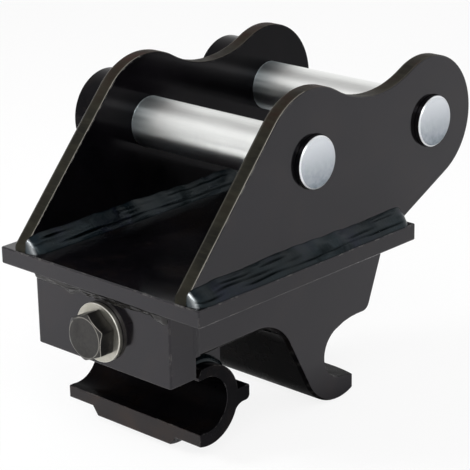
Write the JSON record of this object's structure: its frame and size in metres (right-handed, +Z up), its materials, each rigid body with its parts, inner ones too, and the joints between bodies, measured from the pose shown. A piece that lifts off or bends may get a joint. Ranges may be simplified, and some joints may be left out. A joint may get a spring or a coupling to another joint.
{
  "type": "quick coupler",
  "caption": "Screw-operated quick coupler: two eared plates with arm pins over a fixed hook and a sliding jaw driven by a hex-headed spindle.",
  "frame": {"origin": "on the front arm pin's axis, midway between the two ears", "axes": "+X from the spindle head to the hook, +Y towards the collars' side, +Z up from the base plate to the arm pins"},
  "size_m": [0.2535, 0.1723, 0.1987],
  "materials": {
    "black_paint": "satin",
    "weld_metal": "gloss over rippled weld beads",
    "ground_steel": "ground bright",
    "dark_steel": "blackened",
    "washer_steel": "zinc, matte"
  },
  "bodies": {
    "frame": {"spindle_washer": "washer_steel", "base_plate": "black_paint", "near_ear": "black_paint", "far_ear": "black_paint", "front_collar": "black_paint", "rear_collar": "black_paint", "thrust_block": "black_paint", "hook_body": "black_paint", "near_rail": "black_paint", "far_rail": "black_paint", "near_ear_outer_weld": "weld_metal", "near_ear_inner_weld": "weld_metal", "far_ear_outer_weld": "weld_metal", "far_ear_inner_weld": "weld_metal", "thrust_block_weld": "weld_metal", "near_side_weld": "weld_metal", "far_side_weld": "weld_metal", "hook_weld": "weld_metal", "front_collar_weld": "weld_metal", "rear_collar_weld": "weld_metal", "front_lock_bolt": "dark_steel", "rear_lock_bolt": "dark_steel", "front_lock_washer": "dark_steel", "rear_lock_washer": "dark_steel"},
    "arm_pin_front": {"front_pin": "ground_steel"},
    "arm_pin_rear": {"rear_pin": "ground_steel"},
    "spindle_set": {"spindle": "dark_steel", "stop_ring": "dark_steel", "roll_pin": "dark_steel"},
    "jaw": {"sliding_jaw": "black_paint", "jaw_slide": "black_paint", "jaw_welds": "weld_metal"}
  },
  "joints": [
    {"name": "front_pin_withdraw", "type": "slide", "parent": "frame", "child": "arm_pin_front", "axis": [0, -1, 0], "range_m": [0, 0.17]},
    {"name": "rear_pin_withdraw", "type": "slide", "parent": "frame", "child": "arm_pin_rear", "axis": [0, -1, 0], "range_m": [0, 0.17]},
    {"name": "spindle_turn", "type": "hinge", "parent": "frame", "child": "spindle_set", "pos_m": [-0.0985, 0, -0.086], "axis": [-1, 0, 0], "range_deg": [0, 4500]},
    {"name": "jaw_travel", "type": "slide", "parent": "frame", "child": "jaw", "axis": [1, 0, 0], "range_m": [0, 0.025]}
  ],
  "couplings": [
    {"joint": "spindle_turn", "follows": "jaw_travel", "rad_per_m": 3141.6}
  ]
}
